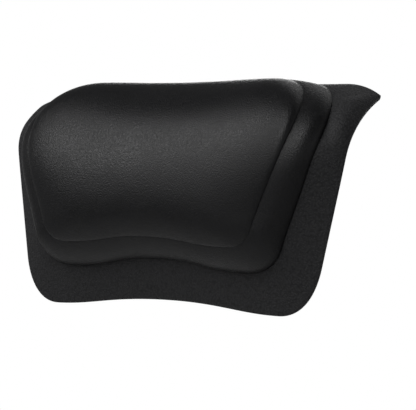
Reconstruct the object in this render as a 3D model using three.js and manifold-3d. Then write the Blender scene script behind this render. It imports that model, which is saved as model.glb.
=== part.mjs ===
// Bath pillow: a moulded polyurethane headrest that hooks over a tub's rim and holds on by two suction cups.
// Millimetres. X runs across the pillow, +Y points at the tub wall and +Z up. The pillow is modelled from its foot
// and then placed so that the origin lies on the wall, midway between the two cups.
import * as THREE from 'three';
import { mergeVertices } from 'three/addons/utils/BufferGeometryUtils.js';
import Module from 'manifold-3d';

// Overall
const pillow_width = 310;
const pillow_height = 172;
const wall_gap = 0.5;          // between the flange's rim and the tub wall
const seam = 0.3;              // between two pieces that touch
const foam_gap = 2;            // between the foam and the moulding behind it

// Flange: the coarse-grained back moulding
const flange_thickness = 5;    // at its edge
const flange_rise = 15.5;      // from its edge line up to the foot of the pad
const hook_reach = 37.5;       // of the hook behind the wall's plane
const tray_depth = 11.5;       // of the hollow that holds the cups
const tray_floor = 3;
const tray_margin = 18;        // of full moulding between the foot of the pad and the hollow
const tray_draft = 3;

// Pad: border tier and crown
const skin_thickness = 2.4;
const border_rise = 16.8;      // from the foot of the pad to the crease
const border_bulge = 8.6;      // of the border over the line from its foot to the crease
const crown_rise = 11.5;       // from the crease to the face of the crown
const saddle_rise = 2.5;       // of the crown's ends over its middle
const neck_taper = 3;          // of the crown's face down to its lower edge
const brow_taper = 27;         // of the crown's face up to its top roll

// Board inside the pad
const board_thickness = 2.4;
const board_margin = 6;        // inside the hollow's floor
const rib_height = 4;
const rib_thickness = 1.8;
const rib_pitch = 30;
const rib_count = 3;           // uprights on each side of the middle one

// Suction cups and their sockets
const cup_spacing = 104;
const cup_radius = 25;
const lip_width = 2.4;
const lip_thickness = 1.2;
const cup_hollow = 3.2;        // of a cup pressed to the wall
const shoulder_radius = 11;
const neck_radius = 4;
const play = 0.4;              // of a cup in its socket
const stud_radius = 6.2;       // of the head that turns in the socket
const stud_height = 5.6;
const tab_length = 7;
const tab_width = 9;
const socket_flange = 1.6;
const socket_flange_radius = 13;
const socket_floor = 2.4;
const socket_wall = 1.8;
const bead_height = 0.7;
const bead_width = 1.6;

// Outlines as shares of half the width and of the height, from the middle of the foot round to the middle of the top
const flange_shares = { arch: 0.042, foot: [0.674, 0], side: [0.884, 0.202], shoulder: [0.984, 0.664],
                        tip: [0.991, 0.93], rear: [0.795, 0.978], crown: 0.994 };
const foot_shares = { arch: 0.209, foot: [0.535, 0.164], side: [0.737, 0.282], shoulder: [0.888, 0.709],
                      top: [0.703, 0.979], crown: 0.985, flare: 0.2, square: 1.1 };
const crease_shares = { arch: 0.301, foot: [0.497, 0.268], side: [0.633, 0.36], shoulder: [0.784, 0.756],
                        top: [0.516, 1.004], crown: 0.994, flare: 0.15, square: 1.15 };
// How each tier leans back over the rim: where the lean starts, its power, its reach as a share of the hook's reach,
// and how far its lower edge tucks in as a share of the rise in front of it
const foot_lean_shares = { start: 0.581, power: 2, reach: 0.605, tuck: 0.3, tuck_from: 0.333 };
const crease_lean_shares = { start: 0.523, power: 2.4, reach: 0.373, tuck: 0.13, tuck_from: 0.356 };
// Handles of the curves, as shares of the run that each one rounds
const round_share = 0.56;
const horn_shares = { rise: 0.53, in: 0.013, back: 0.386, drop: 0.225, brow: 0.8 };
const border_shares = { foot: 0.2, crease: 0.64, brow: 0.12, sill: 0.6 };
const shoulder_shares = { top: 0.75, edge: 0.85, roof: 0.9 };
const crown_shares = { centre: 0.62, side_power: 4, top_power: 2.6, side_root: 1.3, top_root: 2.2, waist: 0.5,
                       brow: 0.5, step: 0.14, step_power: 60 };

// Points along each run of a half outline, rings along each face
const arch_count = 6;
const foot_count = 4;
const side_count = 4;
const low_count = 4;
const high_count = 4;
const top_count = 6;
const border_ring_count = 6;
const crown_ring_count = 8;
const round_segment_count = 40;

const half_width = pillow_width / 2;
const edge_front = wall_gap + flange_thickness / 2;
const foot_front = edge_front + flange_rise;
const crease_front = foot_front + border_rise;
const crown_front = crease_front + crown_rise;
const tray_front = tray_depth + tray_floor;
const board_back = tray_front + seam;
const board_front = board_back + board_thickness;
const rib_front = board_front + rib_height;
const socket_back = tray_depth - socket_flange;
const chamber_back = socket_back + socket_floor;
const chamber_front = chamber_back + play + stud_height + play;
const chamber_radius = stud_radius + play;
const socket_end = chamber_front + socket_wall;
const barrel_radius = chamber_radius + socket_wall;
const boss_radius = barrel_radius + bead_height + seam + rib_thickness;
const cup_height_share = 0.56;
const cup_height = pillow_height * cup_height_share;
const up = new THREE.Vector3(0, 0, 1);

const wasm = await Module();
wasm.setup();

function place(shares) {
  return new THREE.Vector3(half_width * shares[0], 0, pillow_height * shares[1]);
}

function bezier(a, b, c, d, count) {
  const points = new THREE.CubicBezierCurve3(a, b, c, d).getPoints(count);
  return points.slice(0, count);
}

// A run from one point to the next, with a handle given as an offset from each
function run(from, leave, to, arrive, count) {
  return bezier(from, from.clone().add(leave), to.clone().add(arrive), to, count);
}

function along(x, y, z) {
  return new THREE.Vector3(x, y, z);
}

// Half outline of a tier in the plane of the wall
function tierHalf(shares) {
  const arch = along(0, 0, pillow_height * shares.arch);
  const foot = place(shares.foot);
  const side = place(shares.side);
  const shoulder = place(shares.shoulder);
  const top = place(shares.top);
  const crown = along(0, 0, pillow_height * shares.crown);
  const slope = shoulder.clone().sub(side);
  const length = slope.length();
  slope.normalize();
  const flare = along(shares.flare, 0, 1).normalize();
  const corner_rise = (side.z - foot.z) * round_share;
  const corner_run = (side.x - foot.x) * round_share;
  const turn_rise = (top.z - shoulder.z) * round_share * shares.square;
  const turn_run = (shoulder.x - top.x) * round_share * shares.square;
  return [
    ...run(arch, along(foot.x / 2, 0, 0), foot, along(-foot.x / 2, 0, 0), arch_count),
    ...run(foot, along(corner_run, 0, 0), side, slope.clone().multiplyScalar(-corner_rise), foot_count),
    ...run(side, slope.clone().multiplyScalar(length / 3), shoulder,
           flare.clone().multiplyScalar(-length / 3), side_count),
    ...run(shoulder, flare.clone().multiplyScalar(turn_rise), top, along(turn_run, 0, 0),
           low_count + high_count),
    ...run(top, along(-top.x / 3, 0, 0), crown, along(top.x / 2, 0, 0), top_count),
    crown,
  ];
}

// Leans a tier's half outline back towards the rim and tucks its lower edge in
function lean(half, front, rise, shares, lean_shares) {
  const start = pillow_height * lean_shares.start;
  const top = pillow_height * shares.top[1];
  const tuck_from = pillow_height * lean_shares.tuck_from;
  const tuck_to = pillow_height * shares.foot[1];
  const travel = front + hook_reach * lean_shares.reach;
  return half.map((point) => {
    const lifted = Math.max(0, (point.z - start) / (top - start));
    const lowered = Math.max(0, (tuck_from - point.z) / (tuck_from - tuck_to));
    const y = -front + travel * lifted ** lean_shares.power + rise * lean_shares.tuck * lowered ** 2;
    return along(point.x, y, point.z);
  });
}

// Half outline of the flange's edge line, whose upper corners sweep back as horns to the hook's rear edge
function edgeHalf() {
  const shares = flange_shares;
  const arch = along(0, -edge_front, pillow_height * shares.arch);
  const [foot, side, shoulder] = [shares.foot, shares.side, shares.shoulder].map(place);
  for (const point of [foot, side, shoulder]) point.y = -edge_front;
  const tip = place(shares.tip).setY(hook_reach);
  const rear = place(shares.rear).setY(hook_reach);
  const crown = along(0, hook_reach, pillow_height * shares.crown);
  const slope = shoulder.clone().sub(side);
  const length = slope.length();
  slope.normalize();
  const corner_rise = side.z * round_share;
  const corner_run = (side.x - foot.x) * round_share;
  const horn = tip.z - shoulder.z;
  const horn_end = along(-horn * horn_shares.in, -horn * horn_shares.back, -horn * horn_shares.drop);
  const brow = (tip.x - rear.x) / 3;
  const brow_rise = (rear.z - tip.z) * horn_shares.brow;
  return [
    ...run(arch, along(foot.x / 2, 0, 0), foot, along(-foot.x / 3, 0, 0), arch_count),
    ...run(foot, along(corner_run, 0, 0), side, slope.clone().multiplyScalar(-corner_rise), foot_count),
    ...run(side, slope.clone().multiplyScalar(length / 3), shoulder,
           slope.clone().multiplyScalar(-length / 3), side_count),
    ...run(shoulder, slope.clone().multiplyScalar(horn * horn_shares.rise), tip, horn_end, low_count),
    ...run(tip, along(-brow, 0, brow_rise), rear, along(brow, 0, 0), high_count),
    ...run(rear, along(-rear.x / 3, 0, 0), crown, along(rear.x / 3, 0, 0), top_count),
    crown,
  ];
}

function mirrored(half) {
  const other = half.slice(1, -1).reverse().map((point) => along(-point.x, point.y, point.z));
  return [...half, ...other];
}

// Unit normals of the face that runs from one loop to the next, outward from the pillow
function faceNormals(loop, next) {
  return loop.map((point, i) => {
    const before = loop[(i + loop.length - 1) % loop.length];
    const after = loop[(i + 1) % loop.length];
    return after.clone().sub(before).cross(next[i].clone().sub(point)).normalize();
  });
}

function shifted(loop, directions, distance) {
  return loop.map((point, i) => point.clone().addScaledVector(directions[i], distance));
}

// A loop drawn in evenly by a distance in the plane of the wall, and laid at one depth
function drawnIn(loop, distance, y) {
  const reach = Math.max(...loop.map((point) => point.x));
  const low = Math.min(...loop.map((point) => point.z));
  const high = Math.max(...loop.map((point) => point.z));
  const mid = (low + high) / 2;
  const across = 1 - distance / reach;
  const upright = 1 - distance / (high - mid);
  return loop.map((point) => along(point.x * across, y, mid + (point.z - mid) * upright));
}

function between(a, b, share) {
  return a.map((point, i) => point.clone().lerp(b[i], share));
}

// The border tier's rings from its foot to the crease
function borderRings(foot, crease) {
  const normals = faceNormals(foot, crease);
  const rings = [];
  for (let i = 1; i < border_ring_count; i++) {
    const t = i / border_ring_count;
    const early = 3 * (1 - t) ** 2 * t;
    const late = 3 * (1 - t) * t ** 2;
    const chord = early * border_shares.foot + late * border_shares.crease + t ** 3;
    rings.push(foot.map((point, k) => {
      const brow = Math.max(0, normals[k].dot(up));
      const sill = Math.max(0, -normals[k].dot(up));
      const swell = 1 - (1 - border_shares.brow) * brow ** 2 - (1 - border_shares.sill) * sill ** 2;
      const bulge = border_bulge * swell * (early + late);
      return point.clone().lerp(crease[k], chord).addScaledVector(normals[k], bulge);
    }));
  }
  return rings;
}

// Depth of the crown's face: a saddle across, tapering to the neck below and to the brow above
function crownFace(x, z) {
  const waist = pillow_height * crown_shares.waist;
  const brow = pillow_height * crown_shares.brow;
  const ends = saddle_rise * (x / (half_width * crease_shares.side[0])) ** 2;
  const below = neck_taper * (Math.max(0, waist - z) / (waist - pillow_height * crease_shares.arch)) ** 2;
  const above = brow_taper * (Math.max(0, z - brow) / (pillow_height - brow)) ** 2;
  return -(crown_front + ends - below - above);
}

// One ring of the crown: its outline is the crease drawn towards the middle, and it swells from the crease
function crownRing(crease, share) {
  const centre = along(0, 0, pillow_height * crown_shares.centre);
  return crease.map((point) => {
    const x = point.x * share;
    const z = centre.z + (point.z - centre.z) * share;
    const lift = Math.max(0, (point.z - centre.z) / Math.hypot(point.x, point.z - centre.z));
    const power = crown_shares.side_power + (crown_shares.top_power - crown_shares.side_power) * lift;
    const root = crown_shares.side_root + (crown_shares.top_root - crown_shares.side_root) * lift;
    const step = crown_shares.step * Math.sqrt(1 - share ** crown_shares.step_power);
    const swell = step + (1 - crown_shares.step) * (1 - share ** power) ** (1 / root);
    return along(x, point.y + (crownFace(x, z) - point.y) * swell, z);
  });
}

function crownRings(crease) {
  const rings = [];
  for (let i = 1; i < crown_ring_count; i++) {
    rings.push(crownRing(crease, Math.cos(i / crown_ring_count * Math.PI / 2)));
  }
  return rings;
}

// A closed body from rings that start and end at a single point. The first spans, as many as outward says, run away
// from the middle and the rest back to it, and each face is split so that two bodies that meet are split alike.
function loft(first, rings, last, outward) {
  const count = rings[0].length;
  const points = [first, ...rings.flat(), last];
  const faces = [];
  const at = (ring, i) => 1 + ring * count + i % count;
  for (let i = 0; i < count; i++) {
    faces.push(0, at(0, i + 1), at(0, i));
    faces.push(points.length - 1, at(rings.length - 1, i), at(rings.length - 1, i + 1));
    for (let r = 0; r + 1 < rings.length; r++) {
      const [a, b, c, d] = [at(r, i), at(r, i + 1), at(r + 1, i + 1), at(r + 1, i)];
      const right_half = i < count / 2;
      if (right_half === r < outward) faces.push(a, b, c, a, c, d);
      else faces.push(a, b, d, b, c, d);
    }
  }
  const geometry = new THREE.BufferGeometry();
  geometry.setAttribute('position', new THREE.Float32BufferAttribute(points.flatMap((p) => [p.x, p.y, p.z]), 3));
  geometry.setIndex(faces);
  return geometry;
}

function solid(geometry) {
  const bare = geometry.clone();
  bare.deleteAttribute('normal');
  bare.deleteAttribute('uv');
  const merged = mergeVertices(bare);
  const vertProperties = new Float32Array(merged.attributes.position.array);
  const triVerts = new Uint32Array(merged.index.array);
  return new wasm.Manifold(new wasm.Mesh({ numProp: 3, vertProperties, triVerts }));
}

function geometryOf(body) {
  const mesh = body.getMesh();
  const geometry = new THREE.BufferGeometry();
  geometry.setAttribute('position', new THREE.Float32BufferAttribute(mesh.vertProperties, 3));
  geometry.setIndex([...mesh.triVerts]);
  return geometry;
}

// A round plug along Y, from one depth to the next
function plug(radius, from, to) {
  const geometry = new THREE.CylinderGeometry(radius, radius, from - to, round_segment_count);
  return geometry.translate(0, (from + to) / 2, 0);
}

function atCup(geometry, side) {
  return geometry.clone().translate(side * cup_spacing / 2, 0, cup_height);
}

function middle(ring) {
  const z = (Math.min(...ring.map((p) => p.z)) + Math.max(...ring.map((p) => p.z))) / 2;
  return along(0, ring[0].y, z);
}

// Loops that the pieces share
const edge = mirrored(edgeHalf());
const foot = mirrored(lean(tierHalf(foot_shares), foot_front, flange_rise, foot_shares, foot_lean_shares));
const crease = mirrored(lean(tierHalf(crease_shares), crease_front, border_rise, crease_shares, crease_lean_shares));
const border = borderRings(foot, crease);
const crown = crownRings(crease);
const foot_out = faceNormals(foot, border[0]);
const foot_up = foot.map((point, i) => border[0][i].clone().sub(point).normalize());
const ledge = shifted(foot, foot_out, -skin_thickness);
const floor_front = trayLoop(0, -tray_front);

// The hollow's outline at one depth, drawn in by a further distance
function trayLoop(distance, y) {
  return drawnIn(foot, tray_margin + tray_draft + distance, y);
}

// The rings between the first and the last, each shifted against the faces that meet at it
function shiftedRings(rings, distance) {
  return rings.slice(1, -1).map((ring, i) => {
    const below = faceNormals(rings[i], ring);
    const above = faceNormals(ring, rings[i + 2]);
    return shifted(ring, above.map((normal, k) => normal.add(below[k]).normalize()), distance);
  });
}

const pad_middle = along(0, crownFace(0, pillow_height * crown_shares.centre), pillow_height * crown_shares.centre);
const skin_outer = [shifted(foot, foot_up, seam), ...border, crease, ...crown];
const skin_inner = [shifted(ledge, foot_up, seam), ...innerRings()];

// Inside of the skin, on fewer rings than its outside
function innerRings() {
  const all = shiftedRings([foot, ...border, crease, ...crown], -skin_thickness);
  const last = all.length - 1;
  const valley = border_ring_count;
  return [1, valley - 3, valley - 1, valley + 1, valley + 3, last].map((i) => all[i]);
}

function padSkin() {
  const under = pad_middle.clone().setY(pad_middle.y + skin_thickness);
  return loft(under, [...skin_inner.toReversed(), ...skin_outer], pad_middle, skin_inner.length);
}

function flangeShell() {
  const out = faceNormals(edge, foot);
  const back = shifted(edge, out, -flange_thickness / 2);
  const front = shifted(edge, out, flange_thickness / 2);
  const away = edge.map((point, i) => point.clone().sub(foot[i]).normalize());
  const nose = shifted(edge, away, flange_thickness / 4);
  const rim = drawnIn(foot, tray_margin, -wall_gap);
  const floor_back = trayLoop(0, -tray_depth);
  const rings = [floor_back, rim, between(rim, back, 0.5), back, nose, front, between(front, foot, 0.5), foot,
                 ledge, floor_front];
  let body = solid(loft(middle(floor_back), rings, middle(floor_front), 3));
  for (const side of [-1, 1]) body = body.subtract(solid(atCup(plug(barrel_radius + seam, 0, -socket_end), side)));
  return geometryOf(body);
}

// A plate of the board's outline, from one depth to the next
function plate(distance, from, to) {
  const shape = new THREE.Shape(trayLoop(distance, 0).map((p) => new THREE.Vector2(p.x, p.z)));
  const geometry = new THREE.ExtrudeGeometry(shape, { depth: to - from, bevelEnabled: false });
  return solid(geometry.rotateX(Math.PI / 2).translate(0, -from, 0));
}

// The board without its holes, grown by a distance: a plate with a raised rim, crossed ribs and a boss at each socket
function boardBody(grown) {
  const back = board_back - grown;
  const front = board_front + grown;
  const crest = rib_front + grown;
  const full = plate(board_margin - grown, board_front, crest);
  let ribs = full.subtract(plate(board_margin + rib_thickness + grown, back, crest + rib_height));
  const width = rib_thickness + grown * 2;
  const depth = crest - board_front;
  for (let i = -rib_count; i <= rib_count; i++) {
    const upright = new THREE.BoxGeometry(width, depth, pillow_height);
    ribs = ribs.add(solid(upright.translate(i * rib_pitch, -board_front - depth / 2, pillow_height / 2)));
  }
  for (const side of [-1, 1]) {
    const level = new THREE.BoxGeometry(pillow_width, depth, width);
    ribs = ribs.add(solid(level.translate(0, -board_front - depth / 2, cup_height + side * rib_pitch)));
    ribs = ribs.add(solid(atCup(plug(boss_radius + grown, -board_front, -crest), side)));
  }
  return plate(board_margin - grown, back, front).add(ribs.intersect(full));
}

function insertBoard() {
  let body = boardBody(0);
  for (const side of [-1, 1]) {
    body = body.subtract(solid(atCup(plug(barrel_radius + seam, 0, -rib_front - rib_height), side)));
    const well = plug(boss_radius - rib_thickness, -board_front, -rib_front - rib_height);
    body = body.subtract(solid(atCup(well, side)));
  }
  return geometryOf(body);
}

// The foam fills the skin down to the flange's moulding and lies round the board and the sockets
function padFoam() {
  const wall_out = faceNormals(skin_inner[0], skin_inner[1]);
  const wall_up = skin_inner[0].map((point, i) => skin_inner[1][i].clone().sub(point).normalize());
  const sole = shifted(shifted(skin_inner[0], wall_out, -seam), wall_up, foam_gap);
  const floor = trayLoop(0, -tray_front - foam_gap);
  const middle_ring = skin_inner.at(-1).map(() => pad_middle);
  const sides = shiftedRings([...skin_inner, middle_ring], -seam);
  const top = pad_middle.clone().setY(pad_middle.y + skin_thickness + seam);
  let body = solid(loft(middle(floor), [floor, sole, ...sides], top, 1));
  body = body.subtract(boardBody(seam));
  for (const side of [-1, 1]) {
    body = body.subtract(solid(atCup(plug(boss_radius - rib_thickness, -board_front, -socket_end - seam), side)));
  }
  return geometryOf(body);
}

function revolve(profile) {
  return new THREE.LatheGeometry(profile.map(([r, y]) => new THREE.Vector2(r, y)), round_segment_count);
}

// A blind socket: its flange sits on the hollow's floor and its bead snaps in front of the board
function cupSocket() {
  const bead_back = board_front + seam;
  return revolve([
    [0, -socket_end], [barrel_radius, -socket_end], [barrel_radius, -bead_back - bead_width],
    [barrel_radius + bead_height, -bead_back - bead_width / 2], [barrel_radius + bead_height, -bead_back],
    [barrel_radius, -bead_back], [barrel_radius, -tray_depth + seam], [socket_flange_radius, -tray_depth + seam],
    [socket_flange_radius, -socket_back], [neck_radius + play, -socket_back], [neck_radius + play, -chamber_back],
    [chamber_radius, -chamber_back], [chamber_radius, -chamber_front], [0, -chamber_front],
  ]);
}

// Half of a suction cup: the head that turns in the socket, the neck, the shoulder, the lip and the hollow
function suctionCup() {
  const neck_front = chamber_back + play;
  const head_front = neck_front + stud_height;
  const shoulder = socket_back - play;
  const cup = solid(revolve([
    [0, -head_front], [stud_radius / 2, -head_front], [stud_radius, -neck_front - stud_height / 3],
    [stud_radius, -neck_front], [neck_radius, -neck_front], [neck_radius, -shoulder],
    [shoulder_radius * shoulder_shares.top, -shoulder], [shoulder_radius, -shoulder * shoulder_shares.edge],
    [(shoulder_radius + cup_radius) / 2, -(shoulder + lip_thickness) / 2],
    [cup_radius - lip_width, -lip_thickness - lip_thickness / 3], [cup_radius, -lip_thickness],
    [cup_radius + lip_thickness / 4, -lip_thickness / 2], [cup_radius, 0], [cup_radius - lip_width, 0],
    [(shoulder_radius + cup_radius) / 2, -cup_hollow / 2], [shoulder_radius, -cup_hollow * shoulder_shares.roof],
    [0, -cup_hollow],
  ]));
  const outline = new THREE.Shape();
  const root = cup_radius - lip_width;
  const end = cup_radius + tab_length - tab_width / 2;
  outline.moveTo(-tab_width / 2, -root);
  outline.lineTo(-tab_width / 2, -end);
  outline.absarc(0, -end, tab_width / 2, Math.PI, 0, false);
  outline.lineTo(tab_width / 2, -root);
  const tab = new THREE.ExtrudeGeometry(outline, { depth: lip_thickness, bevelEnabled: false, curveSegments: 6 });
  return geometryOf(cup.add(solid(tab.rotateX(Math.PI / 2))));
}

function material(color, roughness, extra = {}) {
  return new THREE.MeshStandardMaterial({ color, roughness, metalness: 0, ...extra });
}

const grained_foam = material('#1d1d1e', 0.78);
const smooth_skin = material('#1a1a1b', 0.5);
const inner_foam = material('#2a2a2b', 0.95);
const moulded_plastic = material('#d9d9d6', 0.45);
const clear_vinyl = material('#dfe6e6', 0.18, { transparent: true, opacity: 0.55 });

const pillow = new THREE.Group();

function addPiece(name, geometry, finish, x = 0, z = 0) {
  const mesh = new THREE.Mesh(geometry, finish);
  mesh.name = name;
  mesh.position.set(x, 0, z);
  pillow.add(mesh);
}

addPiece('flange_shell', flangeShell(), grained_foam);
addPiece('pad_skin', padSkin(), smooth_skin);
addPiece('pad_foam', padFoam(), inner_foam);
addPiece('insert_board', insertBoard(), moulded_plastic);
for (const [name, side] of [['left', -1], ['right', 1]]) {
  addPiece(`cup_socket_${name}`, cupSocket(), moulded_plastic, side * cup_spacing / 2, cup_height);
  addPiece(`suction_cup_${name}`, suctionCup(), clear_vinyl, side * cup_spacing / 2, cup_height);
}

pillow.position.z = -cup_height;
const bath_pillow = new THREE.Group();
bath_pillow.add(pillow);
export default bath_pillow;
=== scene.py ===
# Bath pillow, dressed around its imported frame: X runs across the pillow, +Y points at the tub wall and +Z up.
# Lengths are in metres, and the origin lies on the wall, midway between the two suction cups.
import math

import bmesh
import bpy
import numpy as np
from mathutils import Matrix, Vector


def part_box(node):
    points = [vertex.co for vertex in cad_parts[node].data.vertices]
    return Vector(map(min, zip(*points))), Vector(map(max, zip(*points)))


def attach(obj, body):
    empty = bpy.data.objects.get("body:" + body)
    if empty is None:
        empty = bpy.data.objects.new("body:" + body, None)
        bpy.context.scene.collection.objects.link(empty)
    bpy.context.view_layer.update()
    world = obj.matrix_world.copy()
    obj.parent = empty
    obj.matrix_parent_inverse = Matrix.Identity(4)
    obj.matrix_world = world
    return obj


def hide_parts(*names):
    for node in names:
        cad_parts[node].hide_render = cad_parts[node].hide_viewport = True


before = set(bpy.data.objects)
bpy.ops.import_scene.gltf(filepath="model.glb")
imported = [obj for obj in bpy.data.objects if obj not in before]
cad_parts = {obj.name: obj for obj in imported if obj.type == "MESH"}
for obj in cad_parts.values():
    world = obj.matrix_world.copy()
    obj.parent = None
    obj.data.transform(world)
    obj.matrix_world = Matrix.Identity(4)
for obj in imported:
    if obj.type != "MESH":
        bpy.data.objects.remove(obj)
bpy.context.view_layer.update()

# Insert board
# A flat board of injection-moulded polypropylene inside the pad, with a raised rim, crossed ribs and two
# round bosses. The cup sockets snap into it from behind, so it spreads the pull of the cups over the foam.

MM = 0.001
BOARD_COLOUR, FLOW_COLOUR = "#d5d5d1", "#cbcbc6"
FLOW_MARK = 18 * MM                    # length of the marks that the melt leaves
SPARK_GRAIN = 0.35 * MM                # of the spark-eroded mould, drawn coarser than life


def linear(code):
    """Linear colour of an sRGB hex value."""
    parts = [int(code[i:i + 2], 16) / 255 for i in (1, 3, 5)]
    return (*[c / 12.92 if c <= 0.04045 else ((c + 0.055) / 1.055) ** 2.4 for c in parts], 1)


def add(tree, kind, settings=(), **inputs):
    """A node with its settings, and with each input set to a value or linked to another node's output.

    An input goes by its name, or by its number after an underscore where names repeat.
    """
    node = tree.nodes.new(kind)
    for name, value in dict(settings).items():
        setattr(node, name, value)
    for name, value in inputs.items():
        socket = node.inputs[int(name[1:])] if name[0] == "_" else node.inputs[name.replace("_", " ")]
        if isinstance(value, bpy.types.NodeSocket):
            tree.links.new(value, socket)
        else:
            socket.default_value = value
    return node


def new_material(name, **finish):
    """A material with one Principled shader, and its tree and shader."""
    material = bpy.data.materials.new(name)
    material.use_nodes = True
    tree = material.node_tree
    shader = tree.nodes["Principled BSDF"]
    for socket, value in finish.items():
        shader.inputs[socket.replace("_", " ")].default_value = value
    return material, tree, shader


def place_in(tree):
    """The piece's own coordinates, in metres."""
    return add(tree, "ShaderNodeTexCoord").outputs["Object"]


# Moulded polypropylene: an even, faintly waxy off-white with the fine spark-eroded texture of its mould.
polypropylene, tree, shader = new_material("moulded_polypropylene", IOR=1.49, Roughness=0.42)
place = place_in(tree)
flow = add(tree, "ShaderNodeTexNoise", Vector=place, Scale=1 / FLOW_MARK, Detail=2.0)
tone = add(tree, "ShaderNodeMix", {"data_type": "RGBA"}, Factor=flow.outputs["Fac"],
           _6=linear(BOARD_COLOUR), _7=linear(FLOW_COLOUR))
tree.links.new(tone.outputs[2], shader.inputs["Base Color"])
grit = add(tree, "ShaderNodeTexNoise", Vector=place, Scale=1 / SPARK_GRAIN, Detail=3.0)
bump = add(tree, "ShaderNodeBump", Height=grit.outputs["Fac"], Strength=0.3, Distance=0.04 * MM)
tree.links.new(bump.outputs["Normal"], shader.inputs["Normal"])

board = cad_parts["insert_board"]
board.data.materials.clear()
board.data.materials.append(polypropylene)

# Cup sockets
# Two blind sockets moulded in the same polypropylene. Each is pushed through the floor of the hollow from
# behind until its bead snaps in front of the board, and holds a cup's stud so that the cup can turn.

SIDES = {"left": -1, "right": 1}
CUP_SPACING = sum(corner.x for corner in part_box("cup_socket_right"))   # twice the X of its axis
SOCKET_RADIUS = 13 * MM                # of the disc on the floor of the hollow
BARREL_RADIUS = 8.4 * MM
CHAMBER_RADIUS = 6.6 * MM              # of the room for the stud
THROAT_RADIUS = 4.4 * MM
SOCKET_BACK = 9.9 * MM                 # this and the next five are depths from the tub wall
TRAY_DEPTH = 11.5 * MM                 # of the floor of the hollow
CHAMBER_BACK = 12.3 * MM
BEAD_BACK = 17.5 * MM
CHAMBER_FRONT = 18.7 * MM
SOCKET_END = 20.5 * MM
BEAD_RISE = 0.7 * MM
BEAD_WIDTH = 1.6 * MM
SOCKET_ROUND = 0.35 * MM
SEAM = 0.3 * MM                        # left between pieces that are pushed or foamed together
ROUND_STEPS = 144
CORNER_STEPS = 4
CORNER_ROOM = 0.45                     # share of a side that one rounded corner may take


def rounded(profile, radius):
    """A profile of (radius, depth) points whose corners are rounded as far as their sides allow."""
    points = [Vector(p) for p in profile]
    smooth = [points[0]]
    for before, corner, after in zip(points, points[1:], points[2:]):
        room = min((corner - before).length, (after - corner).length) * CORNER_ROOM
        reach = min(radius, room)
        start = corner + (before - corner).normalized() * reach
        end = corner + (after - corner).normalized() * reach
        for i in range(CORNER_STEPS + 1):
            t = i / CORNER_STEPS
            smooth.append(start * (1 - t) ** 2 + corner * 2 * t * (1 - t) + end * t ** 2)
    smooth.append(points[-1])
    return smooth


def finish_mesh(name, work, smooth=True):
    """The object of a bmesh, with its faces turned outwards."""
    bmesh.ops.recalc_face_normals(work, faces=work.faces)
    mesh = bpy.data.meshes.new(name)
    work.to_mesh(mesh)
    work.free()
    if smooth:
        mesh.shade_smooth()
    piece = bpy.data.objects.new(name, mesh)
    bpy.context.scene.collection.objects.link(piece)
    return piece


def revolved(name, profile, x):
    """A round piece about the axis along Y at that X. Its profile starts and ends on the axis."""
    work = bmesh.new()
    first = work.verts.new((x, -profile[0][1], 0))
    last = work.verts.new((x, -profile[-1][1], 0))
    rings = []
    for radius, depth in profile[1:-1]:
        turns = [2 * math.pi * i / ROUND_STEPS for i in range(ROUND_STEPS)]
        rings.append([work.verts.new((x + radius * math.cos(turn), -depth, radius * math.sin(turn)))
                      for turn in turns])
    for i in range(ROUND_STEPS):
        j = (i + 1) % ROUND_STEPS
        work.faces.new((first, rings[0][i], rings[0][j]))
        work.faces.new((last, rings[-1][j], rings[-1][i]))
        for low, high in zip(rings, rings[1:]):
            work.faces.new((low[i], high[i], high[j], low[j]))
    return finish_mesh(name, work)


socket_profile = [
    (0, SOCKET_END), (BARREL_RADIUS, SOCKET_END), (BARREL_RADIUS, BEAD_BACK + BEAD_WIDTH),
    (BARREL_RADIUS + BEAD_RISE, BEAD_BACK + BEAD_WIDTH / 2), (BARREL_RADIUS + BEAD_RISE, BEAD_BACK),
    (BARREL_RADIUS, BEAD_BACK), (BARREL_RADIUS, TRAY_DEPTH - SEAM), (SOCKET_RADIUS, TRAY_DEPTH - SEAM),
    (SOCKET_RADIUS, SOCKET_BACK), (THROAT_RADIUS, SOCKET_BACK), (THROAT_RADIUS, CHAMBER_BACK),
    (CHAMBER_RADIUS, CHAMBER_BACK), (CHAMBER_RADIUS, CHAMBER_FRONT), (0, CHAMBER_FRONT)]
for side, sign in SIDES.items():
    socket = revolved(f"socket_{side}", rounded(socket_profile, SOCKET_ROUND), sign * CUP_SPACING / 2)
    socket.data.materials.append(polypropylene)
    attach(socket, "pillow")
    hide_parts(f"cup_socket_{side}")

# Suction cups
# Each is one moulding of clear soft PVC: a stud that turns in the socket, a neck, a stiff shoulder, a cone
# that thins to the lip, and a tab below for peeling it off the wall.

CUP_RADIUS = 25 * MM
LIP_WIDTH = 2.4 * MM
LIP_THICKNESS = 1.2 * MM
CUP_HOLLOW = 3.2 * MM
SHOULDER_RADIUS = 11 * MM
NECK_RADIUS = 4 * MM
STUD_RADIUS = 6.2 * MM
STUD_HEIGHT = 5.6 * MM
PLAY = 0.4 * MM                        # of the stud in its socket
CUP_ROUND = 0.9 * MM
CUP_SHARES = {"shoulder_flat": 0.75, "shoulder_drop": 0.85, "hollow_flat": 0.9, "lip_back": 4 / 3,
              "lip_round": 1 / 4}
TAB_LENGTH = 7 * MM
TAB_WIDTH = 9 * MM
TAB_STEPS = 24
CUP_SHARP_ANGLE = math.radians(40)     # edges that turn more than this aren't shaded smooth
PVC_COLOUR = "#e3ecea"
COOLING_WAVE = 6 * MM

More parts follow.
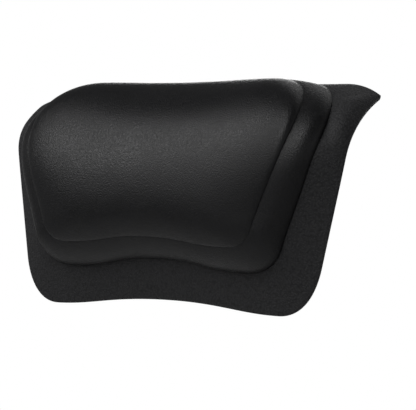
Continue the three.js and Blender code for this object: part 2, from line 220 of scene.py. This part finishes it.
neck_front = CHAMBER_BACK + PLAY
shoulder = SOCKET_BACK - PLAY
cone = (SHOULDER_RADIUS + CUP_RADIUS) / 2
cup_profile = [
    (0, neck_front + STUD_HEIGHT), (STUD_RADIUS / 2, neck_front + STUD_HEIGHT),
    (STUD_RADIUS, neck_front + STUD_HEIGHT / 3), (STUD_RADIUS, neck_front), (NECK_RADIUS, neck_front),
    (NECK_RADIUS, shoulder), (SHOULDER_RADIUS * CUP_SHARES["shoulder_flat"], shoulder),
    (SHOULDER_RADIUS, shoulder * CUP_SHARES["shoulder_drop"]), (cone, (shoulder + LIP_THICKNESS) / 2),
    (CUP_RADIUS - LIP_WIDTH, LIP_THICKNESS * CUP_SHARES["lip_back"]), (CUP_RADIUS, LIP_THICKNESS),
    (CUP_RADIUS + LIP_THICKNESS * CUP_SHARES["lip_round"], LIP_THICKNESS / 2), (CUP_RADIUS, 0),
    (CUP_RADIUS - LIP_WIDTH, 0), (cone, CUP_HOLLOW / 2),
    (SHOULDER_RADIUS, CUP_HOLLOW * CUP_SHARES["hollow_flat"]), (0, CUP_HOLLOW)]

# Moulded soft PVC: glossy and water-clear with a faint blue-green cast, slightly wavy where it cooled.
clear_pvc, tree, shader = new_material("clear_soft_pvc", Base_Color=linear(PVC_COLOUR), IOR=1.53,
                                       Roughness=0.12, Transmission_Weight=0.92)
place = place_in(tree)
wave = add(tree, "ShaderNodeTexNoise", Vector=place, Scale=1 / COOLING_WAVE, Detail=1.0)
bump = add(tree, "ShaderNodeBump", Height=wave.outputs["Fac"], Strength=0.25, Distance=0.15 * MM)
tree.links.new(bump.outputs["Normal"], shader.inputs["Normal"])


def peel_tab(x):
    """A flat tab with a round end, from under the lip to below it."""
    work = bmesh.new()
    root = CUP_RADIUS - LIP_WIDTH
    end = CUP_RADIUS + TAB_LENGTH - TAB_WIDTH / 2
    half = TAB_WIDTH / 2
    turns = [math.pi + math.pi * i / TAB_STEPS for i in range(TAB_STEPS + 1)]
    round_end = [(half * math.cos(turn), -end + half * math.sin(turn)) for turn in turns]
    outline = [(-half, -root), *round_end, (half, -root)]
    face = work.faces.new([work.verts.new((x + across, 0, down)) for across, down in outline])
    raised = bmesh.ops.extrude_face_region(work, geom=[face])
    for vertex in raised["geom"]:
        if isinstance(vertex, bmesh.types.BMVert):
            vertex.co.y = -LIP_THICKNESS
    return finish_mesh("peel_tab", work, smooth=False)


def combine(piece, other, operation):
    """Adds another mesh to the piece or cuts it out, and deletes the other object."""
    boolean = piece.modifiers.new("combine", "BOOLEAN")
    boolean.operation = operation
    boolean.object = other
    graph = bpy.context.evaluated_depsgraph_get()
    graph.update()
    mesh = bpy.data.meshes.new_from_object(piece.evaluated_get(graph))
    piece.modifiers.clear()
    piece.data = mesh
    bpy.data.objects.remove(other)


for side, sign in SIDES.items():
    cup = revolved(f"cup_{side}_moulding", rounded(cup_profile, CUP_ROUND), sign * CUP_SPACING / 2)
    combine(cup, peel_tab(sign * CUP_SPACING / 2), "UNION")
    cup.data.set_sharp_from_angle(angle=CUP_SHARP_ANGLE)
    cup.data.materials.append(clear_pvc)
    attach(cup, f"cup_{side}")
    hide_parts(f"suction_cup_{side}")

# Flange
# The back moulding of integral-skin polyurethane foam. Its front climbs from a rounded edge to the foot of
# the pad, its two upper corners sweep back as horns, and its hook rests on the tub's rim. The hollow behind
# holds the suction cups, and the whole front has the coarse pebble grain of its mould.

HALF_WIDTH = 155 * MM
HEIGHT = 172 * MM
CUP_HEIGHT = HEIGHT * 0.56             # of the cups' axes, and so of the origin, over the lower edge
WALL_GAP = 0.5 * MM
FLANGE_THICKNESS = 5 * MM
FLANGE_RISE = 15.5 * MM                # from its edge to the foot of the pad
HOOK_REACH = 37.5 * MM
HORN_CURL = 4.5 * MM                   # swell of the horns between their edge and the pad
TRAY_FLOOR = 3 * MM                    # the tray is the hollow behind, with its floor to the front
TRAY_MARGIN = 18 * MM
TRAY_DRAFT = 3 * MM
SKIN_THICKNESS = 2.4 * MM              # of the pad, which sits on a ledge of the flange
BORDER_RISE = 16.8 * MM                # from the foot of the pad to its crease

EDGE_FRONT = WALL_GAP + FLANGE_THICKNESS / 2
FOOT_FRONT = EDGE_FRONT + FLANGE_RISE
CREASE_FRONT = FOOT_FRONT + BORDER_RISE
TRAY_FRONT = TRAY_DEPTH + TRAY_FLOOR

# Outlines of the edge, the foot and the crease, as shares of half the width and of the height. Flare leans a
# tier's sides outward at the shoulder, and square fills its upper corners.
FLANGE_SHARES = {"arch": 0.042, "foot": (0.674, 0), "side": (0.884, 0.202), "shoulder": (0.984, 0.664),
                 "tip": (0.991, 0.93), "rear": (0.795, 0.978), "crown": 0.994}
FOOT_SHARES = {"arch": 0.209, "foot": (0.535, 0.164), "side": (0.737, 0.282), "shoulder": (0.888, 0.709),
               "top": (0.703, 0.979), "crown": 0.985, "flare": 0.2, "square": 1.1}
CREASE_SHARES = {"arch": 0.301, "foot": (0.497, 0.268), "side": (0.633, 0.36), "shoulder": (0.784, 0.756),
                 "top": (0.516, 1.004), "crown": 0.994, "flare": 0.15, "square": 1.15}
FOOT_LEAN = {"start": 0.581, "power": 2, "reach": 0.605, "tuck": 0.3, "tuck_from": 0.333}
CREASE_LEAN = {"start": 0.523, "power": 2.4, "reach": 0.373, "tuck": 0.13, "tuck_from": 0.356}
ROUND_SHARE = 0.56                     # handle that makes a quarter turn nearly round
HORN_SHARES = {"rise": 0.43, "in": 0.013, "back": 0.386, "drop": 0.225, "brow_rise": 0.8, "curl_from": 0.55,
               "curl_over": 0.25, "curl_to": 0.978, "curl_end": 0.1}
NOSE_SHARE = 0.25                      # how far the rounded edge stands out, of its thickness
RUN_POINTS = {"arch": 30, "foot": 24, "side": 20, "low": 22, "high": 22, "top": 30}
FLANGE_RINGS = {"tray_wall": 6, "back": 8, "half_edge": 6, "front": 16, "under_pad": 6}
CLOSING_SHARES = (0.25, 0.5, 0.75)
HOLE_OVERRUN = 1 * MM                  # of the cutter past both faces of the tray's floor


def at(shares):
    """A point in the plane of the wall from its shares of half the width and of the height."""
    return np.array([HALF_WIDTH * shares[0], 0, HEIGHT * shares[1]])


def run(start, leave, end, arrive, count):
    """Points of a curved run without its last. Leave and arrive are the handles, as offsets from its ends."""
    t = np.linspace(0, 1, count, endpoint=False)[:, None]
    leave, arrive = start + np.array(leave), end + np.array(arrive)
    return (1 - t) ** 3 * start + 3 * (1 - t) ** 2 * t * leave + 3 * (1 - t) * t ** 2 * arrive + t ** 3 * end


def unit(vector):
    """Vectors of the same directions and of length 1."""
    return vector / np.linalg.norm(vector, axis=-1, keepdims=True)


def tier_half(shares):
    """Half outline of a tier in the plane of the wall, from the middle of its foot to that of its top."""
    arch = np.array([0, 0, HEIGHT * shares["arch"]])
    foot, side, shoulder_at, top = (at(shares[name]) for name in ("foot", "side", "shoulder", "top"))
    crown = np.array([0, 0, HEIGHT * shares["crown"]])
    length = np.linalg.norm(shoulder_at - side)
    slope = unit(shoulder_at - side)
    flare = unit(np.array([shares["flare"], 0, 1]))
    corner_rise = (side[2] - foot[2]) * ROUND_SHARE
    corner_run = (side[0] - foot[0]) * ROUND_SHARE
    turn_rise = (top[2] - shoulder_at[2]) * ROUND_SHARE * shares["square"]
    turn_run = (shoulder_at[0] - top[0]) * ROUND_SHARE * shares["square"]
    return np.vstack([
        run(arch, (foot[0] / 2, 0, 0), foot, (-foot[0] / 2, 0, 0), RUN_POINTS["arch"]),
        run(foot, (corner_run, 0, 0), side, slope * -corner_rise, RUN_POINTS["foot"]),
        run(side, slope * length / 3, shoulder_at, flare * -length / 3, RUN_POINTS["side"]),
        run(shoulder_at, flare * turn_rise, top, (turn_run, 0, 0), RUN_POINTS["low"] + RUN_POINTS["high"]),
        run(top, (-top[0] / 3, 0, 0), crown, (top[0] / 2, 0, 0), RUN_POINTS["top"]),
        crown[None]])


def lean(half, front, rise, shares, lean_shares):
    """Leans a tier's half outline back towards the rim and tucks its lower edge in."""
    start, top = HEIGHT * lean_shares["start"], HEIGHT * shares["top"][1]
    tuck_from, tuck_to = HEIGHT * lean_shares["tuck_from"], HEIGHT * shares["foot"][1]
    lifted = np.maximum(0, (half[:, 2] - start) / (top - start))
    lowered = np.maximum(0, (tuck_from - half[:, 2]) / (tuck_from - tuck_to))
    travel = front + HOOK_REACH * lean_shares["reach"]
    leant = half.copy()
    leant[:, 1] = -front + travel * lifted ** lean_shares["power"] + rise * lean_shares["tuck"] * lowered ** 2
    return leant


def edge_half():
    """Half outline of the flange's edge line, whose upper corners sweep back to the hook's rear edge."""
    shares = FLANGE_SHARES
    arch = np.array([0, -EDGE_FRONT, HEIGHT * shares["arch"]])
    names = ("foot", "side", "shoulder", "tip", "rear")
    foot, side, shoulder_at, tip, rear = (at(shares[name]) for name in names)
    for point in (foot, side, shoulder_at):
        point[1] = -EDGE_FRONT
    tip[1] = rear[1] = HOOK_REACH
    crown = np.array([0, HOOK_REACH, HEIGHT * shares["crown"]])
    length = np.linalg.norm(shoulder_at - side)
    slope = unit(shoulder_at - side)
    corner_rise = side[2] * ROUND_SHARE
    corner_run = (side[0] - foot[0]) * ROUND_SHARE
    horn = tip[2] - shoulder_at[2]
    horn_end = (-horn * HORN_SHARES["in"], -horn * HORN_SHARES["back"], -horn * HORN_SHARES["drop"])
    brow, brow_rise = (tip[0] - rear[0]) / 3, (rear[2] - tip[2]) * HORN_SHARES["brow_rise"]
    return np.vstack([
        run(arch, (foot[0] / 2, 0, 0), foot, (-foot[0] / 3, 0, 0), RUN_POINTS["arch"]),
        run(foot, (corner_run, 0, 0), side, slope * -corner_rise, RUN_POINTS["foot"]),
        run(side, slope * length / 3, shoulder_at, slope * -length / 3, RUN_POINTS["side"]),
        run(shoulder_at, slope * horn * HORN_SHARES["rise"], tip, horn_end, RUN_POINTS["low"]),
        run(tip, (-brow, 0, brow_rise), rear, (brow, 0, 0), RUN_POINTS["high"]),
        run(rear, (-rear[0] / 3, 0, 0), crown, (rear[0] / 3, 0, 0), RUN_POINTS["top"]),
        crown[None]])


def mirrored(half):
    """The whole loop of a half outline."""
    other = half[1:-1][::-1] * (-1, 1, 1)
    return np.vstack([half, other])


def face_normals(loop, following):
    """Unit normals of the face that runs from one loop to the next, outward from the pillow."""
    tangent = np.roll(loop, -1, 0) - np.roll(loop, 1, 0)
    return unit(np.cross(tangent, following - loop))


def drawn_in(loop, distance, y):
    """A loop drawn in evenly by a distance in the plane of the wall, and laid at one depth."""
    low, high = loop[:, 2].min(), loop[:, 2].max()
    middle = (low + high) / 2
    across, upright = 1 - distance / loop[:, 0].max(), 1 - distance / (high - middle)
    drawn = loop.copy()
    drawn[:, 0] *= across
    drawn[:, 1] = y
    drawn[:, 2] = middle + (loop[:, 2] - middle) * upright
    return drawn


def lofted(name, first, rings, last):
    """A closed piece from rings of points that start and end at a single point, in the pillow's frame."""
    work = bmesh.new()
    lift = np.array([0, 0, CUP_HEIGHT])
    start, end = work.verts.new(first - lift), work.verts.new(last - lift)
    loops = [[work.verts.new(point) for point in ring - lift] for ring in rings]
    count = len(loops[0])
    for i in range(count):
        j = (i + 1) % count
        work.faces.new((start, loops[0][j], loops[0][i]))
        work.faces.new((end, loops[-1][i], loops[-1][j]))
        for low, high in zip(loops, loops[1:]):
            work.faces.new((low[i], low[j], high[j], high[i]))
    return finish_mesh(name, work)


def middle_of(ring):
    """The point in the middle of a flat ring."""
    return np.array([0, ring[0, 1], (ring[:, 2].min() + ring[:, 2].max()) / 2])


def closing(ring):
    """Rings from a flat ring towards its middle."""
    return [ring + (middle_of(ring) - ring) * share for share in CLOSING_SHARES]


def spans(start, end, count, bulge=0.0, normals=None):
    """Rings between two loops, bulged along the normals."""
    rings = []
    for i in range(1, count):
        t = i / count
        ring = start + (end - start) * t
        rings.append(ring if normals is None else ring + normals * bulge * 4 * t * (1 - t))
    return rings


def arc_between(start, corner, end, count):
    """Rings along a rounded edge from one loop over a corner loop to another."""
    return [start * (1 - t) ** 2 + corner * 2 * t * (1 - t) + end * t ** 2 for t in np.linspace(0, 1, count)]


def eased(share):
    """A share from 0 to 1 with a soft start and a soft end."""
    share = np.clip(share, 0, 1)
    return share ** 2 * (3 - 2 * share)


edge = mirrored(edge_half())
foot = mirrored(lean(tier_half(FOOT_SHARES), FOOT_FRONT, FLANGE_RISE, FOOT_SHARES, FOOT_LEAN))
crease = mirrored(lean(tier_half(CREASE_SHARES), CREASE_FRONT, BORDER_RISE, CREASE_SHARES, CREASE_LEAN))

out = face_normals(edge, foot)
away = unit(edge - foot)
back_edge = edge - out * FLANGE_THICKNESS / 2
front_edge = edge + out * FLANGE_THICKNESS / 2
tray_rim = drawn_in(foot, TRAY_MARGIN, -WALL_GAP)
tray_back = drawn_in(foot, TRAY_MARGIN + TRAY_DRAFT, -TRAY_DEPTH)
tray_front = drawn_in(foot, TRAY_MARGIN + TRAY_DRAFT, -TRAY_FRONT)
border_out = face_normals(foot, crease)
ledge = foot - border_out * SKIN_THICKNESS
nose = away * FLANGE_THICKNESS * NOSE_SHARE
edge_height = edge[:, 2] / HEIGHT
# The swell starts above the shoulder and ends short of the top, so that the upper outline stays as it is
horn_curl = (HORN_CURL * eased((edge_height - HORN_SHARES["curl_from"]) / HORN_SHARES["curl_over"])
             * eased((HORN_SHARES["curl_to"] - edge_height) / HORN_SHARES["curl_end"]))

flange_rings = [
    *closing(tray_back)[::-1], tray_back,
    *spans(tray_back, tray_rim, FLANGE_RINGS["tray_wall"]), tray_rim,
    *spans(tray_rim, back_edge, FLANGE_RINGS["back"]),
    *arc_between(back_edge, back_edge + nose, edge + nose, FLANGE_RINGS["half_edge"]),
    *arc_between(edge + nose, front_edge + nose, front_edge, FLANGE_RINGS["half_edge"])[1:],
    *spans(front_edge, foot, FLANGE_RINGS["front"], horn_curl[:, None], out), foot, ledge,
    *spans(ledge, tray_front, FLANGE_RINGS["under_pad"]), tray_front, *closing(tray_front)]
flange = lofted("flange", middle_of(tray_back), flange_rings, middle_of(tray_front))
hole_ends = (TRAY_FRONT + HOLE_OVERRUN, TRAY_DEPTH - HOLE_OVERRUN)
hole = [(0, hole_ends[0]), *[(BARREL_RADIUS + SEAM, depth) for depth in hole_ends], (0, hole_ends[1])]
for sign in SIDES.values():
    combine(flange, revolved("socket_hole", hole, sign * CUP_SPACING / 2), "DIFFERENCE")

# Integral-skin polyurethane from a sandblasted and etched mould: matt black with a coarse pebble grain. The
# grain is drawn at 1.5 mm, a little coarser than life, so that it shows from a step away. Its colour is lighter
# on the pebble tops and darker in the gaps between them, which is painted light and shade on the grain.
FLANGE_GRAIN = 1.5 * MM
PEBBLE_LIT_TOP_COLOUR, PEBBLE_SHADED_GAP_COLOUR = "#252526", "#101011"
FOLD_ANGLE = math.radians(50)          # edges that turn more than this aren't shaded smooth
grained_skin, tree, shader = new_material("grained_polyurethane_skin", IOR=1.5, Roughness=0.62,
                                          Specular_IOR_Level=0.12)
place = place_in(tree)
warp = add(tree, "ShaderNodeTexNoise", Vector=place, Scale=1 / (2 * FLANGE_GRAIN), Detail=1.0)
moved = add(tree, "ShaderNodeVectorMath", {"operation": "MULTIPLY_ADD"}, _0=warp.outputs["Color"],
            _1=(FLANGE_GRAIN, FLANGE_GRAIN, FLANGE_GRAIN), _2=place)
pebble = add(tree, "ShaderNodeTexVoronoi", {"feature": "SMOOTH_F1"}, Vector=moved.outputs["Vector"],
             Scale=1 / FLANGE_GRAIN, Smoothness=0.6)
# Painted light and shade: the colour runs from lighter on each pebble's top to darker in the gaps between
# pebbles
tone = add(tree, "ShaderNodeMix", {"data_type": "RGBA"}, Factor=pebble.outputs["Distance"],
           _6=linear(PEBBLE_LIT_TOP_COLOUR), _7=linear(PEBBLE_SHADED_GAP_COLOUR))
tree.links.new(tone.outputs[2], shader.inputs["Base Color"])
bump = add(tree, "ShaderNodeBump", {"invert": True}, Height=pebble.outputs["Distance"], Strength=0.9,
           Distance=0.5 * MM)
tree.links.new(bump.outputs["Normal"], shader.inputs["Normal"])

flange.data.set_sharp_from_angle(angle=FOLD_ANGLE)
flange.data.materials.append(grained_skin)
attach(flange, "pillow")
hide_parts("flange_shell")

# Pad skin
# The smooth moulded skin over the foam, in two tiers. A rounded border rises from the flange to a crease, and
# inside the crease swells the crown that the neck rests on. It rolls back over the rim at the top.

BORDER_BULGE = 6.2 * MM
CROWN_RISE = 11.5 * MM                 # from the crease to the middle of the face
SADDLE_RISE = -1.5 * MM                # of the face's ends over its middle, low down
CORNER_RISE = 16 * MM                  # and what they gain towards the top
NECK_TAPER = 3 * MM                    # how far the face falls back at its foot
BROW_TAPER = 44 * MM                   # and at its top
CROWN_FRONT = CREASE_FRONT + CROWN_RISE
# Foot and crease place the handles of the border's curve, and brow and sill are its bulge above and below
BORDER_SHARES = {"foot": 0.2, "crease": 0.64, "brow": 0.12, "sill": 0.35}
# Centre, waist and brow are heights. The crown rises from the crease by a steep step and then by a slope. The
# step is lower along the foot, and the slope's root is larger along the top, which makes it fuller there.
CROWN_SHARES = {"centre": 0.62, "waist": 0.5, "brow": 0.48, "brow_droop": 0.1, "brow_power": 2.4, "power": 6,
                "side_root": 1, "top_root": 2.2, "step": 0.25, "foot_step": 0.1, "foot_turn": 1.6,
                "step_power": 60, "step_root": 2}
BORDER_RINGS = 28
CROWN_RINGS = 48
INNER_STRIDE = 4                       # of the outer rings, one in so many is repeated inside


def border_rings():
    """Rings of the border from its foot to the crease, which bulges least where it faces up or down."""
    upward = border_out[:, 2:]
    brow, sill = np.maximum(0, upward), np.maximum(0, -upward)
    swell = 1 - (1 - BORDER_SHARES["brow"]) * brow ** 2 - (1 - BORDER_SHARES["sill"]) * sill ** 2
    rings = []
    for i in range(1, BORDER_RINGS):
        t = i / BORDER_RINGS
        early, late = 3 * (1 - t) ** 2 * t, 3 * (1 - t) * t ** 2
        chord = early * BORDER_SHARES["foot"] + late * BORDER_SHARES["crease"] + t ** 3
        rings.append(foot + (crease - foot) * chord + border_out * BORDER_BULGE * swell * (early + late))
    return rings


def crown_face(x, z):
    """Depth of the crown's face: a saddle across, tapering to the neck below and to the brow above."""
    waist = HEIGHT * CROWN_SHARES["waist"]
    across = (x / (HALF_WIDTH * CREASE_SHARES["side"][0])) ** 2
    brow = HEIGHT * (CROWN_SHARES["brow"] - CROWN_SHARES["brow_droop"] * across)
    raised = np.maximum(0, z - brow) / (HEIGHT - brow)
    ends = (SADDLE_RISE + CORNER_RISE * raised ** 2) * across
    below = NECK_TAPER * (np.maximum(0, waist - z) / (waist - HEIGHT * CREASE_SHARES["arch"])) ** 2
    above = BROW_TAPER * raised ** CROWN_SHARES["brow_power"]
    return -(CROWN_FRONT + ends - below - above)


def crown_ring(share):
    """A ring of the crown: the crease drawn towards the middle, swelling from the crease to the face."""
    centre = HEIGHT * CROWN_SHARES["centre"]
    x, z = crease[:, 0] * share, centre + (crease[:, 2] - centre) * share
    upward = (crease[:, 2] - centre) / np.hypot(crease[:, 0], crease[:, 2] - centre)
    top, low = np.maximum(0, upward), eased(-upward * CROWN_SHARES["foot_turn"])
    root = CROWN_SHARES["side_root"] + (CROWN_SHARES["top_root"] - CROWN_SHARES["side_root"]) * top
    step = CROWN_SHARES["step"] + (CROWN_SHARES["foot_step"] - CROWN_SHARES["step"]) * low
    slope = (1 - share ** CROWN_SHARES["power"]) ** (1 / root)
    roll = (1 - share ** CROWN_SHARES["step_power"]) ** (1 / CROWN_SHARES["step_root"])
    swell = (1 - step) * slope + step * roll
    y = crease[:, 1] + (crown_face(x, z) - crease[:, 1]) * swell
    return np.column_stack([x, y, z])


crown_height = HEIGHT * CROWN_SHARES["centre"]
crown_middle = np.array([0, crown_face(0, crown_height), crown_height])
pad_rings = [foot, *border_rings(), crease,
             *[crown_ring(math.cos(i / CROWN_RINGS * math.pi / 2)) for i in range(1, CROWN_RINGS)]]


def inside(rings, depth):
    """The rings between the first and the last, moved in by a depth against the faces that meet at them."""
    moved = []
    for before, ring, after in zip(rings, rings[1:], rings[2:]):
        normals = unit(face_normals(before, ring) + face_normals(ring, after))
        moved.append(ring - normals * depth)
    return moved


inner_rings = inside(pad_rings[::INNER_STRIDE], SKIN_THICKNESS)
inner_middle = crown_middle + (0, SKIN_THICKNESS, 0)
foot_gap = unit(pad_rings[1] - foot) * SEAM
inner_foot = ledge + foot_gap
skin_rings = [*inner_rings[::-1], inner_foot, foot + foot_gap, *pad_rings[1:]]
skin = lofted("pad_skin_moulding", inner_middle, skin_rings, crown_middle)

# Integral-skin polyurethane off a finer, satin mould face: near black and slightly glossy. Its leather-like
# grain of 0.9 mm differs in gloss from cell to cell, so it shows in the highlights, and wear dulls patches. Its
# colour is a little darker in the gaps between the grain's cells, which is painted shade.
PAD_GRAIN = 0.9 * MM
RUB_PATCH = 35 * MM
SATIN_COLOUR, SATIN_SHADED_GAP_COLOUR = "#0f0f10", "#0b0b0c"
satin_skin, tree, shader = new_material("satin_polyurethane_skin", IOR=1.5, Roughness=0.42,
                                        Specular_IOR_Level=0.15)
place = place_in(tree)
cells = add(tree, "ShaderNodeTexVoronoi", {"feature": "SMOOTH_F1"}, Vector=place, Scale=1 / PAD_GRAIN,
            Smoothness=0.8)
rub = add(tree, "ShaderNodeTexNoise", Vector=place, Scale=1 / RUB_PATCH, Detail=3.0)
gloss = add(tree, "ShaderNodeMapRange", Value=rub.outputs["Fac"], From_Min=0.3, From_Max=0.7, To_Min=0.38,
            To_Max=0.46)
glint = add(tree, "ShaderNodeMapRange", Value=cells.outputs["Color"], From_Min=0.2, From_Max=0.8, To_Min=-0.1,
            To_Max=0.1)
rough = add(tree, "ShaderNodeMath", {"operation": "ADD"}, _0=gloss.outputs["Result"],
            _1=glint.outputs["Result"])
tree.links.new(rough.outputs[0], shader.inputs["Roughness"])
# Painted shade: the colour is a little darker in the gaps between the grain's cells
tone = add(tree, "ShaderNodeMix", {"data_type": "RGBA"}, Factor=cells.outputs["Distance"],
           _6=linear(SATIN_COLOUR), _7=linear(SATIN_SHADED_GAP_COLOUR))
tree.links.new(tone.outputs[2], shader.inputs["Base Color"])
bump = add(tree, "ShaderNodeBump", {"invert": True}, Height=cells.outputs["Distance"], Strength=0.6,
           Distance=0.3 * MM)
tree.links.new(bump.outputs["Normal"], shader.inputs["Normal"])

skin.data.set_sharp_from_angle(angle=FOLD_ANGLE)
skin.data.materials.append(satin_skin)
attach(skin, "pillow")
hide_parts("pad_skin")

# Foam core
# Soft polyurethane foam, foamed in place between the skin and the board. Its back has a pocket for the board
# and the sockets, and its open cells show where it is cut.

FLOOR_GAP = 1 * MM                     # between the core and the front of the tray
POCKET_INSET = 5.7 * MM                # of the board's pocket, from the sides of the tray
SOLE_LIFT = 2 * MM                     # of the core's lowest ring, from the flange's ledge
SOLE_RINGS = 4

core_back = -TRAY_FRONT - FLOOR_GAP
core_floor = drawn_in(foot, TRAY_MARGIN + TRAY_DRAFT, core_back)
pocket = drawn_in(foot, TRAY_MARGIN + TRAY_DRAFT + POCKET_INSET, core_back)
pocket_end = pocket.copy()
pocket_end[:, 1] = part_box("insert_board")[0].y - SEAM
sole = (inner_foot - face_normals(ledge, inner_rings[0]) * SEAM
        + unit(inner_rings[0] - inner_foot) * SOLE_LIFT)
core_rings = [pocket_end, pocket, core_floor, *spans(core_floor, sole, SOLE_RINGS), sole,
              *inside([inner_foot, *inner_rings], SEAM)]
core = lofted("pad_core", middle_of(pocket_end), core_rings, inner_middle + (0, SEAM, 0))

# Flexible polyurethane foam: dull charcoal with fine open cells, drawn at 0.8 mm, about twice their size.
FOAM_CELL = 0.8 * MM
CELL_COLOUR, CELL_WALL_COLOUR = "#1c1c1d", "#343436"
open_foam, tree, shader = new_material("flexible_polyurethane_foam", IOR=1.45, Roughness=0.95)
place = place_in(tree)
cell = add(tree, "ShaderNodeTexVoronoi", Vector=place, Scale=1 / FOAM_CELL)
tone = add(tree, "ShaderNodeMix", {"data_type": "RGBA"}, Factor=cell.outputs["Distance"],
           _6=linear(CELL_COLOUR), _7=linear(CELL_WALL_COLOUR))
tree.links.new(tone.outputs[2], shader.inputs["Base Color"])
bump = add(tree, "ShaderNodeBump", Height=cell.outputs["Distance"], Strength=0.8, Distance=0.3 * MM)
tree.links.new(bump.outputs["Normal"], shader.inputs["Normal"])

core.data.materials.append(open_foam)
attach(core, "pillow")
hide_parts("pad_foam")

# Floor, light and camera
# A plain pale floor well below the pillow, which hangs free as in the photograph. Soft lamps stand in front
# of it and behind it, in a white room with a dark ceiling, and the camera has the photograph's angle.

FLOOR_DROP = 700 * MM
FLOOR_SIZE = 12.0
FLOOR_GLOW = 0.7
FLOOR_COLOUR = "#f4f4f4"
WHITE = "#ffffff"
ROOM_LIGHT = 0.15

world = bpy.data.worlds.new("studio")
bpy.context.scene.world = world
world.use_nodes = True
tree = world.node_tree
tree.nodes.clear()
# The camera, gloss and glass see a white room, and the light that it gives is dim. Its left wall is grey, and
# its ceiling is dark, so that the pad's top roll darkens. Behind the pillow the ceiling starts higher up.
path = add(tree, "ShaderNodeLightPath")
mirrored_too = add(tree, "ShaderNodeMath", {"operation": "ADD"}, _0=path.outputs["Is Camera Ray"],
                   _1=path.outputs["Is Glossy Ray"])
seen_directly = add(tree, "ShaderNodeMath", {"operation": "ADD", "use_clamp": True},
                    _0=mirrored_too.outputs[0], _1=path.outputs["Is Transmission Ray"])
rise = add(tree, "ShaderNodeSeparateXYZ", Vector=add(tree, "ShaderNodeTexCoord").outputs["Generated"])
dark_from = add(tree, "ShaderNodeMapRange", Value=rise.outputs["Y"], From_Min=0.0, From_Max=1.0, To_Min=0.5,
                To_Max=0.9)
ceiling = add(tree, "ShaderNodeMapRange", Value=rise.outputs["Z"], From_Min=0.05,
              From_Max=dark_from.outputs["Result"], To_Min=1.0, To_Max=0.08)
left_wall = add(tree, "ShaderNodeMapRange", Value=rise.outputs["X"], From_Min=-0.85, From_Max=-0.3,
                To_Min=0.25, To_Max=1.0)
grey_left = add(tree, "ShaderNodeMath", {"operation": "MULTIPLY"}, _0=ceiling.outputs["Result"],
                _1=left_wall.outputs["Result"])
walls = add(tree, "ShaderNodeMath", {"operation": "MAXIMUM"}, _0=grey_left.outputs[0],
            _1=path.outputs["Is Camera Ray"])
dim = add(tree, "ShaderNodeBackground", Color=linear(WHITE), Strength=ROOM_LIGHT)
white = add(tree, "ShaderNodeBackground", Color=linear(WHITE), Strength=walls.outputs[0])
mix = add(tree, "ShaderNodeMixShader", _0=seen_directly.outputs[0], _1=dim.outputs[0], _2=white.outputs[0])
add(tree, "ShaderNodeOutputWorld", Surface=mix.outputs[0])

sheet = bmesh.new()
bmesh.ops.create_grid(sheet, x_segments=1, y_segments=1, size=FLOOR_SIZE / 2)
floor = finish_mesh("floor", sheet, smooth=False)
floor.location.z = -CUP_HEIGHT - FLOOR_DROP
# Matt white paint: pale, with a glow that only the camera sees, so that it comes out white
floor_paint, tree, shader = new_material("matt_floor_paint", Base_Color=linear(FLOOR_COLOUR), Roughness=0.9,
                                         Specular_IOR_Level=0.0, Emission_Color=linear(WHITE))
path = add(tree, "ShaderNodeLightPath")
glow = add(tree, "ShaderNodeMath", {"operation": "MULTIPLY"}, _0=path.outputs["Is Camera Ray"], _1=FLOOR_GLOW)
tree.links.new(glow.outputs[0], shader.inputs["Emission Strength"])
floor.data.materials.append(floor_paint)


def direction(turn, rise):
    """The direction at a turn to the right from straight in front of the pillow, and a rise above it."""
    return np.array([math.sin(turn) * math.cos(rise), -math.cos(turn) * math.cos(rise), math.sin(rise)])


def softbox(name, turn, rise, distance, size, power):
    """A rectangular lamp that faces the pillow from a turn and a rise, in degrees, at a distance."""
    lamp = bpy.data.lights.new(name, "AREA")
    lamp.shape = "RECTANGLE"
    lamp.size, lamp.size_y = size
    lamp.energy = power
    light = bpy.data.objects.new(name, lamp)
    light.location = Vector(direction(math.radians(turn), math.radians(rise))) * distance
    light.rotation_euler = light.location.to_track_quat("Z", "Y").to_euler()
    bpy.context.scene.collection.objects.link(light)


# Turn and rise in degrees, distance and size in metres, and power in watts. The first three shape the front,
# the fourth lights the hook, and the last lights the back and the cups.
softbox("key_softbox", -14, 37, 1.3, (0.4, 1.0), 6)
softbox("left_softbox", -47, 31, 1.3, (0.4, 0.9), 11)
softbox("front_softbox", 23, 38, 1.3, (0.5, 0.9), 10.5)
softbox("rear_softbox", 180, 50, 1.4, (1.2, 0.4), 2)
softbox("back_softbox", 206, 8, 1.5, (1.0, 1.0), 11)

# The camera, fitted to the outline in the photograph
PHOTO_WIDTH = 416
FOCAL_PIXELS = 1920.1
SENSOR = 36.0
CAMERA_TURN, CAMERA_RISE, CAMERA_ROLL = math.radians(36.5), math.radians(-2.4), math.radians(3.03)
CAMERA_DISTANCE = 1.4265
CAMERA_AIM = np.array([32.86 * MM, 0, 77.7 * MM - CUP_HEIGHT])

camera_back = direction(CAMERA_TURN, CAMERA_RISE)
level_right = np.array([math.cos(CAMERA_TURN), math.sin(CAMERA_TURN), 0])
level_up = np.cross(camera_back, level_right)
camera_right = level_right * math.cos(CAMERA_ROLL) + level_up * math.sin(CAMERA_ROLL)
camera_up = level_up * math.cos(CAMERA_ROLL) - level_right * math.sin(CAMERA_ROLL)
turned = Matrix([camera_right, camera_up, camera_back]).transposed().to_4x4()
lens = bpy.data.cameras.new("camera")
lens.sensor_width = SENSOR
lens.lens = FOCAL_PIXELS / PHOTO_WIDTH * SENSOR
camera = bpy.data.objects.new("camera", lens)
camera.matrix_world = Matrix.Translation(CAMERA_AIM + camera_back * CAMERA_DISTANCE) @ turned
bpy.context.scene.collection.objects.link(camera)
bpy.context.scene.camera = camera
bpy.context.scene.view_settings.view_transform = "Standard"
